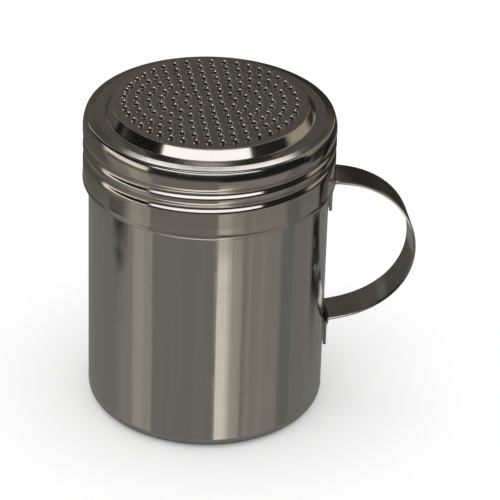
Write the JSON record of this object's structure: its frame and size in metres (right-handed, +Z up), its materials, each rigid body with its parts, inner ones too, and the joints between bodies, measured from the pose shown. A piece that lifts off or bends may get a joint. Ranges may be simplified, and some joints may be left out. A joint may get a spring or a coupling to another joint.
{
  "type": "spice shaker",
  "caption": "Round polished-steel dredge shaker: a drawn can with a strap handle and a screw lid whose raised flat top is perforated.",
  "frame": {"origin": "centre of the can's flat base, on the can's axis", "axes": "+Z up along the can's axis, +X towards the handle, Y across the strap"},
  "size_m": [0.0974, 0.073, 0.0955],
  "materials": {
    "can_steel": "mirror-polished stainless steel sheet",
    "lid_steel": "mirror-polished stainless steel sheet, slightly warmer than the can",
    "strap_steel": "polished stainless steel strip",
    "rivet_steel": "plain stainless steel rivet"
  },
  "bodies": {
    "can": {"can_body": "can_steel", "handle_strap": "strap_steel", "upper_rivet": "rivet_steel", "lower_rivet": "rivet_steel"},
    "lid": {"lid": "lid_steel"}
  },
  "joints": [
    {"name": "lid_lift_off", "type": "slide", "parent": "can", "child": "lid", "axis": [0, 0, 1], "range_m": [0, 0.06]}
  ]
}
